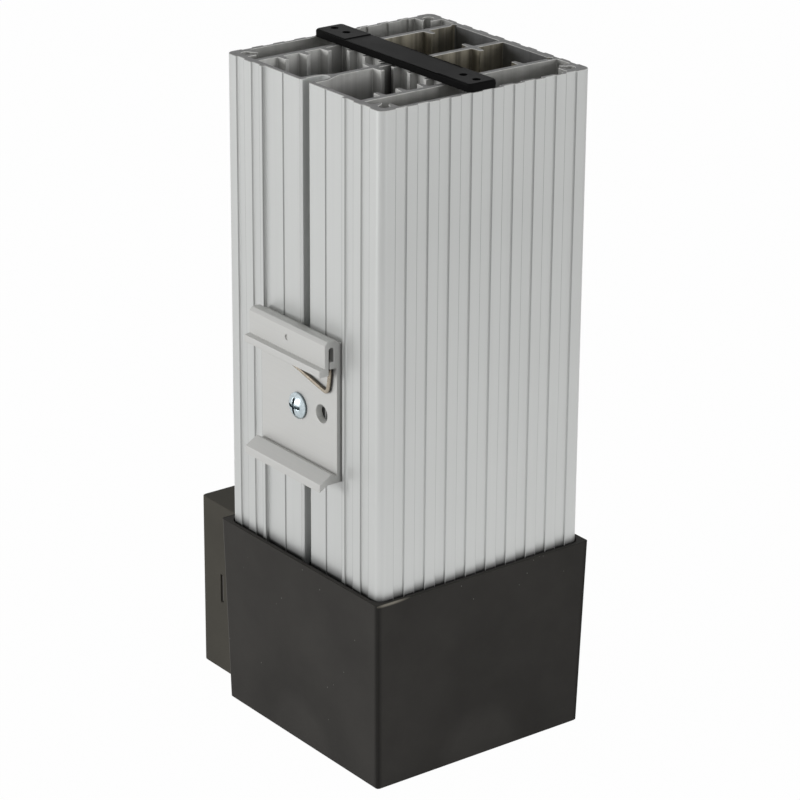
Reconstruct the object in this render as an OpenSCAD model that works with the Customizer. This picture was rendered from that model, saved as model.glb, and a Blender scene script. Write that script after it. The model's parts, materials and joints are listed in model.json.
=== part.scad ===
// Compact fan heater for control cabinets.
// An extruded aluminium heat exchanger stands in a moulded base that holds the fan.
// Frame: +Z up, origin at the centre of the base's underside, rail clip facing -Y,
// terminal box on the -X side.

/* [Profile] */
// Outer width and depth of the extruded profile
prof_w = 80; // [78:0.5:90]
// Length of the extruded profile
prof_len = 167.5; // [120:0.5:240]
// Radius of the profile's outer corners
prof_corner_r = 4; // [3:0.5:5]
// Thickness of the outer side walls, measured at a ridge
prof_wall = 2.2; // [1.8:0.1:3]
// Thickness of the walls at the front and the back, measured at a ridge
end_wall = 3.2; // [2.8:0.1:4]
// Thickness of the inner walls beside the air chambers
inner_wall = 2; // [1.4:0.1:2.6]
// Thickness of the central web
web_t = 2; // [1.4:0.1:3]
// Half width of the front air chambers
front_x = 26; // [25:0.25:28]
// Half width of the back air chambers
back_x = 23.5; // [22:0.25:25]

/* [Flutes and fins] */
// Pitch of the outer flutes and of the inner fins
flute_pitch = 8; // [7:0.25:9]
// Width of a flute at half its depth
flute_w = 3.7; // [3:0.1:4.5]
// Depth of a flute
flute_depth = 0.6; // [0.4:0.05:1]
// Width of the plain land at each corner
corner_land = 6; // [5:0.25:7]
// Width of the grooves inside the side walls, behind the ridges
groove_w = 2.7; // [2:0.1:3]
// Depth of the grooves inside the side walls
groove_d = 0.9; // [0.5:0.05:1]
// Length of the fins on the side walls and the web
fin_len = 3.7; // [2:0.1:4.5]
// Thickness of a fin at its root
fin_root = 2.3; // [1.6:0.1:3]
// Thickness of a fin at its tip
fin_tip = 1.4; // [1:0.1:1.6]
// Distance from the heater slot's middle to the first front fin
front_fin_first = 11.3; // [10:0.1:12.5]
// Distance from the heater slot's middle to the back fin
back_fin_first = 26.7; // [20:0.1:29]
// Length of the fins on the heater slot's walls
slot_fin_len = 2.9; // [1.5:0.1:3.4]
// Distance from the web's middle to the first fin of the heater slot's walls
slot_fin_first = 3.3; // [3:0.1:4]

/* [Heater slot] */
// Middle of the heater slot, front to back
slot_y = -1.4; // [-3:0.1:2]
// Width of the heater slot
slot_w = 5; // [4:0.1:6]
// Thickness of the heater slot's walls
slot_wall = 1.4; // [1.2:0.1:2]
// Half length of the heater slot
slot_x = 22.8; // [20:0.1:23]
// Thickness of the spring plate that clamps a cassette
clamp_t = 0.8; // [0.5:0.1:1.2]
// Height of a cassette's lower end above the profile's lower end
cassette_up = 4; // [2:0.5:10]
// Depth of a cassette's upper end below the profile's top
cassette_down = 7; // [6:0.5:20]

/* [Rail side] */
// Width of the shallow recess for the clip
recess_w = 40.6; // [40.4:0.1:42]
// Depth of the recess
recess_d = 1.5; // [1:0.1:1.8]
// Width of the screw channel
channel_w = 4.5; // [4.4:0.1:5]
// Depth of the screw channel behind the recess
channel_d = 9; // [8:0.25:11]
// Thickness of the screw channel's walls
channel_wall = 1.4; // [1:0.1:2]
// Distance of the two scored lines from the middle
score_x = 10.9; // [8:0.1:14]

/* [Screw ports] */
// Distance of a corner port from the outer faces
port_inset = 5; // [4.6:0.1:5.4]
// Radius of a corner port
port_r = 1.7; // [1.5:0.05:2]
// Width of the slot that opens a port towards the inside
port_slot_w = 2.2; // [1.6:0.1:2.6]
// Size of the solid corner around a port
boss_w = 8.4; // [8:0.1:9]

/* [Base] */
// Height of the base
base_h = 64; // [58:0.5:80]
// Height of the seat that carries the profile
seat_h = 52; // [48:0.5:55]
// Wall of the base at its rim
rim_wall = 1.7; // [1.4:0.1:2.5]
// Gap between the rim and the profile
socket_gap = 0.3; // [0.2:0.05:0.6]
// How much each side narrows from the rim to the foot
draft = 1.5; // [0.8:0.1:2]
// Wall of the base below the seat
base_wall = 2; // [1.6:0.1:2.4]
// Thickness of the floor
floor_t = 2.2; // [1.8:0.1:3]
// Radius of the base's upright edges
base_edge_r = 2; // [1:0.1:3]
// Bevel of the base's lower edge
foot_bevel = 0.8; // [0.4:0.1:1.2]
// Radius of the posts under the profile
post_r = 4; // [3.9:0.1:4.4]
// Height of the lead window's lower edge
window_z = 34; // [33:0.5:36]
// Height of the lead window
window_h = 14; // [11:0.5:14]
// Width of the lead window
window_w = 32; // [30:1:40]

/* [Terminal box] */
// Width of the terminal box
cover_w = 64; // [58:0.5:70]
// How far the terminal box stands out from the rim
cover_reach = 26.6; // [25:0.2:32]
// Height of the terminal box
cover_h = 60.2; // [52:0.2:62]
// Height of its underside above the foot
cover_lift = 0.3; // [0.2:0.1:1]
// Wall of the terminal box
cover_wall = 1.8; // [1.4:0.1:2.4]
// Radius of its outer upright edges
cover_edge_r = 1.5; // [0.8:0.1:2.5]
// Radius of the cable inlet
inlet_r = 4.5; // [3.5:0.25:4.5]
// Height of the latch slot
latch_h = 10; // [7:0.5:12]
// Width of the latch slot
latch_w = 1.3; // [1.2:0.1:2]
// Height of the latch slot's middle
latch_z = 30.2; // [28:0.1:34]
// Depth of the terminal block
block_d = 11; // [10:0.5:11]
// Height of the terminal block
block_h = 18; // [16:0.5:19]
// Height of the shelf that carries the terminal block
shelf_z = 12; // [9:0.5:13]
// Spacing of the terminals
pole_pitch = 8.75; // [8:0.25:9]

/* [Fan] */
// Width of the fan frame
fan_w = 60; // [58:0.5:62]
// Thickness of the fan frame
fan_t = 25; // [25:0.5:27]
// Spacing of the fan's screw holes
fan_pitch = 50; // [49:0.5:50.5]
// Height of the bosses under the fan
fan_boss_h = 2.8; // [2.4:0.1:4]
// Wall of the fan's tunnel
tunnel_wall = 1.2; // [1:0.1:1.6]
// Gap between the blade tips and the tunnel
tip_gap = 0.9; // [0.6:0.1:1.5]
// Radius of the impeller's hub
hub_r = 13.5; // [13:0.1:14.5]
// Number of blades
blades = 7; // [5:1:9]
// Pitch angle of the blades
blade_angle = 38; // [30:1:45]
// Radius of the fan shaft
shaft_r = 1.5; // [1.2:0.1:1.8]
// Radial clearance of the shaft in its bearings
shaft_gap = 0.03; // [0.02:0.01:0.06]

/* [Rail clip] */
// Length of the clip along the rail
clip_w = 39.8; // [36:0.2:40]
// Height of the clip's lower end
clip_z = 97.2; // [80:0.1:150]
// Thickness of the clip's plate
clip_plate = 2.5; // [2.3:0.1:3]
// Depth of the clip's hooks
clip_d = 9; // [8.8:0.1:10]
// Height from the lower hook's notch to the upper hook's lip
rail_gap = 33.4; // [33:0.1:34]
// Radius of the spring wire
wire_r = 0.72; // [0.5:0.02:0.8]
// Height of the clip screw above the clip's lower end
clip_screw_up = 19.3; // [14:0.1:24]

/* [Top bar] */
// Length of the bar
bar_l = 78; // [74:0.5:78]
// Width of the bar
bar_w = 10.8; // [9:0.1:12]
// Height of the bar
bar_h = 2.5; // [2:0.1:4]
// Length of the thicker ends of the bar
bar_end_l = 15.7; // [15:0.1:18]

/* [Hidden] */

// Facets of round shapes, overshoot of cuts, then a press, a close and an easy clearance
$fn = 64;
hull_fn = 32;
cut = 1;
press = 0.02;
snug = 0.05;
slip = 0.2;

prof_half = prof_w / 2;
prof_top = seat_h + prof_len;
seat_y = -(prof_half - recess_d);
front_in = -(prof_half - end_wall);
back_in = prof_half - end_wall - flute_depth / 2;
slot_y0 = slot_y - slot_w / 2;
slot_y1 = slot_y + slot_w / 2;
heater_y0 = slot_y0 - slot_wall;
heater_y1 = slot_y1 + slot_wall;
port_x = prof_half - port_inset;
boss_x = prof_half - boss_w;
side_in = prof_half - prof_wall;
channel_y = seat_y + channel_d;
channel_half = channel_w / 2 + channel_wall;
flutes = floor((prof_half - corner_land - flute_w / 2) / flute_pitch);
flute_slope = 0.15;
ends = [-1, 1];
corners = [for (x = ends, y = ends) [x, y]];

rim_half = prof_half + socket_gap + rim_wall;
foot_half = rim_half - draft;
function wall_x(z) = foot_half + draft * z / base_h;
seat_half = wall_x(seat_h) - base_wall;
floor_half = wall_x(floor_t) - base_wall;
layer_t = 0.01;
screw_gap = 0.3;
post_screw_grip = 10;
post_hole_r = port_r + screw_gap;
port_screw_r = port_r - snug;
port_screw_head_r = 3.3;
port_screw_head_h = 2.5;
port_screw_depth = 14;

fan_z = floor_t + fan_boss_h;
fan_top = fan_z + fan_t;
fan_hole = fan_pitch / 2;
fan_screw_r = 2.1;
fan_screw_head_r = 3.9;
fan_screw_head_h = 2.4;
fan_boss_wall = 0.8;
fan_boss_r = fan_screw_head_r + screw_gap + fan_boss_wall;
flange_t = 3.5;
tunnel_r = fan_w / 2 - tunnel_wall;
tip_r = tunnel_r - tip_gap;
guard_in = 1.2;
guard_r = tunnel_r - guard_in;
guard_hub_r = 10;
guard_rings = 3;
guard_bar = 2;
guard_spokes = 8;
hub_plate_t = 2;
spoke_t = 3;
spoke_w = 4;
rotor_gap = 1;
cup_z = fan_z + rotor_gap;
cup_wall = 1.2;
cup_floor = 2;
cup_top = fan_top - spoke_t - rotor_gap;
cup_in = hub_r - cup_wall;
yoke_t = 0.9;
magnet_t = 1.2;
air_gap = 0.5;
yoke_r = cup_in - snug;
magnet_r = yoke_r - yoke_t - snug;
stator_r = magnet_r - magnet_t - air_gap;
bearing_wall = 1.5;
bearing_r = shaft_r + bearing_wall;
bearing_h = 3;
tube_wall = 1.1;
tube_in = bearing_r + snug;
tube_out = tube_in + tube_wall;
hub_boss_h = 2;
tube_z = cup_z + cup_floor + hub_boss_h;
tube_end = fan_top - hub_plate_t;
shaft_clip_z = tube_end - 3 * bearing_h / 2;
shaft_end = tube_end - rotor_gap;
stator_up = 4;
stator_h = 8;
stator_z = tube_z + stator_up;
pole_w = 3;
ring_t = 1.6;
shoe_t = 1.3;
coil_t = 1.5;

cover_x = -(rim_half + cover_reach);
cover_z = cover_lift;
cover_half = cover_w / 2;
inlet_edge = 0.3;
inlet_x = cover_x + cover_wall + inlet_r + inlet_edge;
latch_in = 11.2;
latch_x = cover_x + latch_in;
tongue_t = 1.4;
shelf_t = 2.2;
block_gap = 5.2;
block_x1 = -wall_x(shelf_z) - block_gap;
block_x0 = block_x1 - block_d;
block_half = 2 * pole_pitch;
poles = [for (i = [-1.5:1:1.5]) i * pole_pitch];
pole_screw_r = 2.2;
pole_screw_x = (block_x0 + block_x1) / 2 - 1;
lead_z = shelf_z + block_h / 2;
heater_lead_r = 1.3;
small_lead_r = 1.1;
lead_in = 3.5;
lead_rise_x = block_x1 + block_gap / 2;
window_mid = window_z + window_h / 2;
earth_y = (seat_y + channel_y) / 2;
lug_t = 0.8;
lug_r = 4.2;
lug_tail = 10;
channel_screw_r = channel_w / 2 - 2 * snug;

clip_foot_h = 2.3;
hook_h = 11;
hook_lip = 2;
leg_t = 1.55;
notch_z = clip_z + clip_foot_h;
lip_z = notch_z + rail_gap;
clip_top = lip_z + hook_h;
stub_up = 2;
stub_z = lip_z + stub_up;
leg_d = clip_d - hook_lip;
leg_in = leg_d - leg_t;
clip_slot_w = 1.8;
clip_hole_r = 3;
clip_hole_x = 11.9;
clip_hole_up = 20.2;
clip_head_r = 4.25;
clip_head_h = 2.4;
spring_y = seat_y - clip_plate - wire_r - snug;

bar_foot_l = 12;
bar_foot_h = cassette_down - 1;
bar_relief = 0.3;
bar_hole_r = 1.25;
bar_edge_r = 1.6;
bar_bevel = 0.5;

// Route of each lead, from its terminal to its far end
heater_far = seat_h + cassette_up - snug;
cassette_mid = (web_t / 2 + slot_x) / 2;
left_route = [[-28, -5, window_mid], [-18, -4, window_mid + 1], [-cassette_mid, slot_y, seat_h - 5],
              [-cassette_mid, slot_y, heater_far]];
right_route = [[-26, 6, window_mid], [-6, 8, window_mid], [8, 6, window_mid + 2],
               [cassette_mid, slot_y, seat_h - 5], [cassette_mid, slot_y, heater_far]];
earth_route = [[-30, -17, window_mid], [-24, -26, window_mid + 3],
               [-17, earth_y + 2, seat_h - 4.5], [-lug_tail - 4, earth_y, seat_h - lug_t - small_lead_r],
               [-lug_tail - snug, earth_y, seat_h - lug_t - small_lead_r]];
fan_route = [[-30, 13, window_mid - 2], [-21, 11, fan_top + 7], [-9, 5, fan_top + 5],
             [-9, 5, fan_top + snug]];

// Helpers

module rounded(w, d, r) {
  square([w - 2 * r, d], center = true);
  square([w, d - 2 * r], center = true);
  for (c = corners) translate([c.x * (w / 2 - r), c.y * (d / 2 - r)]) circle(r);
}

// A box from its lowest to its highest corner
module block(low, high) {
  translate(low) cube(high - low);
}

// A fin that stands on the line y = 0 and points to +Y
module fin(length, root = fin_root, tip = fin_tip) {
  sunk = inner_wall / 2;
  polygon([[-root / 2, -sunk], [root / 2, -sunk], [root / 2, 0], [tip / 2, length],
           [-tip / 2, length], [-root / 2, 0]]);
}

function unit(v) = v / norm(v);
function tangent(p, i) =
  i == 0 ? unit(p[1] - p[0]) :
  i == len(p) - 1 ? unit(p[i] - p[i - 1]) :
  unit(unit(p[i + 1] - p[i]) + unit(p[i] - p[i - 1]));
function level(v, t) = unit(v - (v * t) * t);
function side(p, i) = level(i == 0 ? [0.31, 0.87, 0.39] : side(p, i - 1), tangent(p, i));
function smooth(p, times) =
  times == 0 ? p :
  smooth([p[0],
          for (i = [0:len(p) - 2]) each [0.75 * p[i] + 0.25 * p[i + 1], 0.25 * p[i] + 0.75 * p[i + 1]],
          p[len(p) - 1]], times - 1);

// A round wire of radius r along the points p
module wire(p, r, n = 8) {
  last = (len(p) - 1) * n;
  points = [for (i = [0:len(p) - 1])
              let (t = tangent(p, i), s = side(p, i), u = cross(t, s))
              for (j = [0:n - 1]) p[i] + r * (cos(j * 360 / n) * s + sin(j * 360 / n) * u)];
  walls = [for (i = [0:len(p) - 2], j = [0:n - 1])
             [i * n + j, (i + 1) * n + j, (i + 1) * n + (j + 1) % n, i * n + (j + 1) % n]];
  polyhedron(points, concat(walls, [[for (j = [0:n - 1]) j], [for (j = [n - 1:-1:0]) last + j]]),
             convexity = 6);
}

// A lead leaves the terminal at y, rises behind the block and passes the window
function from_terminal(y) =
  [[block_x1 - lead_in, y, lead_z], [block_x1, y, lead_z], [lead_rise_x, y, lead_z],
   [lead_rise_x, y, window_mid], [-rim_half + 6, y, window_mid]];

// A pan-head screw along +Z with its head's seat at z = 0
module screw(r, length, head_r, head_h) {
  slot = head_r / 4;
  cylinder(r = r, h = length);
  difference() {
    translate([0, 0, -head_h]) cylinder(r = head_r, h = head_h);
    translate([0, 0, -head_h]) cube([head_r * 1.2, slot, head_h], center = true);
    translate([0, 0, -head_h]) cube([slot, head_r * 1.2, head_h], center = true);
  }
}

// Profile

module flutes_2d(from) {
  for (k = [-flutes:flutes])
    if (abs(k * flute_pitch) - flute_w / 2 > from)
      translate([k * flute_pitch, -prof_half])
        polygon([[-flute_w / 2 - flute_slope, -cut], [flute_w / 2 + flute_slope, -cut],
                 [flute_w / 2 + flute_slope, 0], [flute_w / 2 - flute_slope, flute_depth],
                 [-flute_w / 2 + flute_slope, flute_depth], [-flute_w / 2 - flute_slope, 0]]);
}

module outline_2d() {
  score_w = 0.5;
  score_d = 0.5;
  difference() {
    rounded(prof_w, prof_w, prof_corner_r);
    flutes_2d(recess_w / 2);
    for (a = [90, 180, 270]) rotate(a) flutes_2d(-1 - flute_w);
    translate([0, -prof_half]) square([recess_w, 2 * recess_d], center = true);
    for (s = ends)
      translate([s * score_x, seat_y])
        polygon([[-score_w, -cut], [score_w, -cut], [score_w / 2, 0], [0, score_d], [-score_w / 2, 0]]);
  }
}

module chambers_2d() {
  relief_r = 1;
  for (s = ends) mirror([s < 0 ? 1 : 0, 0]) {
    translate([web_t / 2, front_in]) square([front_x - web_t / 2, heater_y0 - front_in]);
    translate([web_t / 2, heater_y1]) square([back_x - web_t / 2, back_in - heater_y1]);
    translate([back_x, back_in]) circle(relief_r);
    for (k = [0:flutes - 1])
      translate([side_in - cut, (k + 0.5) * flute_pitch - groove_w / 2]) square([groove_d + cut, groove_w]);
    difference() {
      union() {
        translate([front_x + inner_wall, front_in])
          square([side_in - front_x - inner_wall, side_in - front_in]);
        translate([back_x + inner_wall, slot_y]) square([front_x - back_x + cut, side_in - slot_y]);
      }
      for (e = ends) translate([boss_x, e > 0 ? boss_x : -prof_half]) square(boss_w);
    }
  }
}

module fins_2d() {
  front_fins = floor((slot_y - front_fin_first - front_in - fin_root) / flute_pitch);
  slot_fins = floor((back_x - slot_fin_first - fin_root) / flute_pitch);
  for (s = ends) mirror([s < 0 ? 1 : 0, 0]) {
    for (k = [0:front_fins])
      translate([front_x, slot_y - front_fin_first - k * flute_pitch]) rotate(90) fin(fin_len);
    translate([web_t / 2, slot_y - front_fin_first]) rotate(-90) fin(fin_len);
    translate([back_x, slot_y + back_fin_first]) rotate(90) fin(fin_len);
    translate([web_t / 2, slot_y + back_fin_first]) rotate(-90) fin(fin_len);
    for (k = [0:slot_fins]) {
      translate([slot_fin_first + k * flute_pitch, heater_y0]) rotate(180) fin(slot_fin_len);
      translate([slot_fin_first + k * flute_pitch, heater_y1]) fin(slot_fin_len);
    }
  }
}

// The wedge of metal around the screw channel, which runs out into the web
module channel_body_2d() {
  taper = 3;
  polygon([[-channel_half, seat_y], [channel_half, seat_y], [channel_half, channel_y - taper],
           [web_t / 2, channel_y + taper], [-web_t / 2, channel_y + taper],
           [-channel_half, channel_y - taper]]);
}

module channel_2d() {
  bevel = 0.65;
  translate([0, channel_y - channel_w / 2]) circle(channel_w / 2);
  translate([-channel_w / 2, seat_y - cut]) square([channel_w, channel_d - channel_w / 2 + cut]);
  polygon([[-channel_w / 2 - bevel, seat_y - cut], [channel_w / 2 + bevel, seat_y - cut],
           [channel_w / 2 + bevel, seat_y], [channel_w / 2, seat_y + bevel],
           [-channel_w / 2, seat_y + bevel], [-channel_w / 2 - bevel, seat_y]]);
}

module heatsink_profile() {
  port_slot_l = sqrt(2) * (port_x - boss_x);
  color("silver") translate([0, 0, seat_h]) linear_extrude(prof_len, convexity = 10)
    difference() {
      outline_2d();
      difference() {
        chambers_2d();
        fins_2d();
        channel_body_2d();
      }
      for (s = ends)
        translate([s > 0 ? web_t / 2 : -slot_x, slot_y0]) square([slot_x - web_t / 2, slot_w]);
      channel_2d();
      for (c = corners) translate(c * port_x) {
        circle(port_r);
        rotate(atan2(-c.y, -c.x)) translate([0, -port_slot_w / 2]) square([port_slot_l, port_slot_w]);
      }
    }
}

// Heater slot

module cassette(s) {
  gap = 2 * slip;
  y0 = slot_y0 + snug;
  y1 = slot_y1 - clamp_t - 2 * snug;
  color("gainsboro") mirror([s < 0 ? 1 : 0, 0, 0])
    block([web_t / 2 + gap, y0, seat_h + cassette_up], [slot_x - gap, y1, prof_top - cassette_down]);
}

module heater_cassette_left() {
  cassette(-1);
}

module heater_cassette_right() {
  cassette(1);
}

module clamp_plates() {
  inset = 2;
  color("darkgray") for (s = ends) mirror([s < 0 ? 1 : 0, 0, 0])
    block([web_t / 2 + inset, slot_y1 - clamp_t - snug, seat_h + cassette_up],
          [slot_x - inset, slot_y1 - snug, prof_top - cassette_down]);
}

module temperature_limiter() {
  thick = 4;
  wide = 8;
  tall = 18;
  up = 8;
  clear = 2;
  color("ivory")
    translate([-web_t / 2 - snug - thick, heater_y1 + slot_fin_len + clear, seat_h + up])
      cube([thick, wide, tall]);
}

module top_bar() {
  hole_end = 3.45;
  hole_pitch = 6.3;
  hole_d = 1.8;
  color([0.16, 0.16, 0.16]) difference() {
    translate([0, slot_y, prof_top]) {
      hull() {
        linear_extrude(bar_h - bar_bevel) rounded(bar_l, bar_w, bar_edge_r, $fn = hull_fn);
        linear_extrude(bar_h)
          rounded(bar_l - 2 * bar_bevel, bar_w - 2 * bar_bevel, bar_edge_r - bar_bevel, $fn = hull_fn);
      }
      for (s = ends)
        translate([s * (web_t / 2 + slot_x) / 2, 0, -bar_foot_h / 2])
          cube([bar_foot_l, slot_w - 2 * slip, bar_foot_h + snug], center = true);
    }
    translate([0, slot_y, prof_top + bar_h])
      cube([bar_l - 2 * bar_end_l, bar_w + cut, 2 * bar_relief], center = true);
    for (s = ends, k = [0, 1])
      translate([s * (bar_l / 2 - hole_end - k * hole_pitch), slot_y, prof_top + bar_h - hole_d])
        cylinder(r = bar_hole_r, h = hole_d + cut);
  }
}

// Base

module base_layer(z, half) {
  for (c = corners) translate([c.x * (half - base_edge_r), c.y * (half - base_edge_r), z])
    cylinder(r = base_edge_r, h = layer_t, $fn = hull_fn);
}

module base_outside() {
  hull() {
    base_layer(0, foot_half - foot_bevel);
    base_layer(foot_bevel, wall_x(foot_bevel));
    base_layer(base_h - layer_t, rim_half);
  }
}

module base_inside() {
  socket = prof_w + 2 * socket_gap;
  hull() {
    base_layer(floor_t, floor_half);
    base_layer(seat_h, seat_half);
  }
  translate([0, 0, seat_h]) linear_extrude(base_h) rounded(socket, socket, prof_corner_r);
}

module guard_slots() {
  ring = (guard_r - guard_hub_r) / guard_rings;
  difference() {
    for (i = [0:guard_rings - 1]) difference() {
      translate([0, 0, -cut]) cylinder(r = guard_hub_r + (i + 1) * ring, h = floor_t + 2 * cut);
      translate([0, 0, -2 * cut])
        cylinder(r = guard_hub_r + i * ring + (i > 0 ? guard_bar : 0), h = floor_t + 4 * cut);
    }
    for (i = [0:guard_spokes / 2 - 1]) rotate(i * 360 / guard_spokes)
      translate([0, 0, floor_t / 2]) cube([3 * guard_r, guard_bar, 3 * floor_t], center = true);
  }
}

module latch_tongues() {
  tip = latch_x - latch_w;
  play = 0.4;
  nub = 1.4;
  for (s = ends) mirror([0, s < 0 ? 1 : 0, 0]) {
    outer = cover_half - cover_wall - slip;
    block([tip, outer - tongue_t, latch_z - latch_h / 2 + play],
          [-foot_half + base_wall / 2, outer, latch_z + latch_h / 2 - play]);
    block([latch_x - latch_w / 2 + slip, outer - cut, latch_z - latch_h / 2 + play],
          [latch_x + latch_w / 2 - slip, outer + nub, latch_z + latch_h / 2 - play]);
  }
}

module base_housing() {
  color([0.24, 0.24, 0.23]) difference() {
    union() {
      difference() {
        base_outside();
        base_inside();
        guard_slots();
      }
      for (c = corners) {
        translate(c * port_x) cylinder(r = post_r, h = seat_h);
        translate(c * fan_hole) cylinder(r = fan_boss_r, h = fan_z);
      }
      block([block_x0, -block_half, shelf_z - shelf_t], [-foot_half + base_wall / 2, block_half, shelf_z]);
      latch_tongues();
    }
    for (c = corners) {
      translate(c * port_x) translate([0, 0, -cut]) cylinder(r = post_hole_r, h = base_h);
      translate(c * port_x) translate([0, 0, -cut])
        cylinder(r = port_screw_head_r + screw_gap, h = seat_h - post_screw_grip + cut);
      translate(c * fan_hole) translate([0, 0, -cut]) cylinder(r = fan_screw_r + slip, h = fan_z + 2 * cut);
      translate(c * fan_hole) translate([0, 0, -cut])
        cylinder(r = fan_screw_head_r + screw_gap, h = fan_screw_head_h + slip + cut);
    }
    block([-rim_half - cut, -window_w / 2, window_z],
          [-seat_half + base_wall, window_w / 2, window_z + window_h]);
  }
}

module profile_screws() {
  color("lightsteelblue") for (c = corners)
    translate([c.x * port_x, c.y * port_x, seat_h - post_screw_grip])
      screw(port_screw_r, post_screw_grip + port_screw_depth, port_screw_head_r, port_screw_head_h);
}

// Terminal box

// The cover's outline seen from above, grown inwards by t
module cover_2d(t, r) {
  deep = -cover_x - t;
  translate([cover_x + t + r, -cover_half + t]) square([deep, cover_w - 2 * t]);
  translate([cover_x + t, -cover_half + t + r]) square([deep, cover_w - 2 * t - 2 * r]);
  for (s = ends) translate([cover_x + t + r, s * (cover_half - t - r)]) circle(r);
}

module terminal_cover() {
  z1 = cover_z + cover_h;
  inner_r = max(0.3, cover_edge_r - cover_wall / 2);
  color([0.22, 0.22, 0.21]) difference() {
    translate([0, 0, cover_z]) linear_extrude(cover_h) cover_2d(0, cover_edge_r);
    translate([0, 0, cover_z + cover_wall]) linear_extrude(cover_h - 2 * cover_wall)
      cover_2d(cover_wall, inner_r);
    rotate([90, 0, 0]) translate([0, 0, -cover_w]) linear_extrude(2 * cover_w)
      polygon([[-wall_x(-cut) - snug, -cut], [-wall_x(z1 + cut) - snug, z1 + cut],
               [rim_half, z1 + cut], [rim_half, -cut]]);
    block([latch_x - latch_w / 2, -cover_w, latch_z - latch_h / 2],
          [latch_x + latch_w / 2, cover_w, latch_z + latch_h / 2]);
    translate([inlet_x, 0, cover_z - cut]) cylinder(r = inlet_r, h = cover_wall + 2 * cut);
  }
}

module terminal_block() {
  mouth_r = 2.2;
  mouth_d = 4.5;
  mouth_z = shelf_z + 5;
  screw_d = 9;
  z1 = shelf_z + block_h;
  color("darkseagreen") difference() {
    block([block_x0, -block_half, shelf_z], [block_x1, block_half, z1]);
    for (y = poles) {
      translate([block_x0 - cut, y, mouth_z]) rotate([0, 90, 0]) cylinder(r = mouth_r, h = mouth_d + cut);
      translate([pole_screw_x, y, z1 - screw_d]) cylinder(r = pole_screw_r, h = screw_d + cut);
      translate([block_x1 - lead_in - slip, y, lead_z]) rotate([0, 90, 0])
        cylinder(r = heater_lead_r + slip, h = lead_in + slip + cut);
    }
  }
}

module terminal_screws() {
  length = 7;
  notch_d = 0.9;
  notch_w = 0.8;
  sunk = 1;
  z1 = shelf_z + block_h - sunk;
  color("silver") for (y = poles) translate([pole_screw_x, y, z1 - length]) difference() {
    cylinder(r = pole_screw_r - snug, h = length);
    translate([0, 0, length]) cube([3 * pole_screw_r, notch_w, 2 * notch_d], center = true);
  }
}

// Leads and earth

module lead(y, route, r) {
  wire(smooth(concat(from_terminal(y), route), 2), r);
}

module heater_leads() {
  color("white") {
    lead(poles[1], left_route, heater_lead_r);
    lead(poles[2], right_route, heater_lead_r);
  }
}

module fan_lead() {
  color([0.2, 0.2, 0.2]) lead(poles[3], fan_route, small_lead_r);
}

module earth_lead() {
  color("yellowgreen") lead(poles[0], earth_route, small_lead_r);
}

module earth_lug() {
  tail_w = 4;
  barrel_l = 5;
  barrel_r = small_lead_r + lug_t / 2;
  color("gainsboro") translate([0, earth_y, seat_h - lug_t]) difference() {
    union() {
      cylinder(r = lug_r, h = lug_t);
      translate([-lug_tail, -tail_w / 2, 0]) cube([lug_tail, tail_w, lug_t]);
      translate([-lug_tail, 0, -small_lead_r]) rotate([0, 90, 0]) cylinder(r = barrel_r, h = barrel_l);
    }
    translate([0, 0, -cut]) cylinder(r = channel_screw_r + slip, h = lug_t + 2 * cut);
  }
}

module earth_screw() {
  head_r = 3.8;
  head_h = 2.6;
  length = 10;
  color("lightsteelblue") translate([0, earth_y, seat_h - lug_t])
    screw(channel_screw_r, length, head_r, head_h);
}

// Fan

module fan_frame() {
  corner_r = 3;
  color([0.15, 0.15, 0.15]) {
    difference() {
      union() {
        for (z = [fan_z, fan_top - flange_t])
          translate([0, 0, z]) linear_extrude(flange_t) rounded(fan_w, fan_w, corner_r);
        translate([0, 0, fan_z]) cylinder(r = fan_w / 2, h = fan_t);
      }
      translate([0, 0, fan_z - cut]) cylinder(r = tunnel_r, h = fan_t + 2 * cut);
      for (c = corners) translate([c.x * fan_hole, c.y * fan_hole, fan_z - cut])
        cylinder(r = fan_screw_r + snug, h = fan_t + 2 * cut);
    }
    translate([0, 0, fan_top - hub_plate_t]) cylinder(r = hub_r, h = hub_plate_t);
    for (a = [30, 150, 270]) rotate(a)
      block([hub_r - cut, -spoke_w / 2, fan_top - spoke_t],
            [tunnel_r + tunnel_wall / 2, spoke_w / 2, fan_top]);
    difference() {
      translate([0, 0, tube_z]) cylinder(r = tube_out, h = tube_end - tube_z + cut);
      translate([0, 0, tube_z - cut]) cylinder(r = tube_in, h = tube_end - tube_z + cut);
    }
  }
}

module fan_impeller() {
  boss_wall = 2.5;
  boss_gap = 0.5;
  boss_z = cup_z + cup_floor - cut;
  blade_t = 1.5;
  color([0.12, 0.12, 0.12]) difference() {
    union() {
      difference() {
        translate([0, 0, cup_z]) cylinder(r = hub_r, h = cup_top - cup_z);
        translate([0, 0, cup_z + cup_floor]) cylinder(r = cup_in, h = fan_t);
      }
      translate([0, 0, boss_z]) cylinder(r = shaft_r + boss_wall, h = tube_z - boss_gap - boss_z);
      intersection() {
        difference() {
          translate([0, 0, cup_z]) cylinder(r = tip_r, h = cup_top - cup_z);
          translate([0, 0, cup_z - cut]) cylinder(r = hub_r - cup_wall / 2, h = fan_t);
        }
        for (i = [0:blades - 1]) rotate(i * 360 / blades)
          translate([(hub_r + tip_r) / 2, 0, (cup_z + cup_top) / 2]) rotate([blade_angle, 0, 0])
            cube([tip_r, blade_t, 2 * fan_t], center = true);
      }
    }
    translate([0, 0, cup_z + cup_floor / 2]) cylinder(r = shaft_r + press, h = fan_t);
  }
}

module fan_shaft() {
  color("silver") translate([0, 0, cup_z + cup_floor / 2 + snug])
    cylinder(r = shaft_r, h = shaft_end - cup_z - cup_floor / 2);
}

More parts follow.
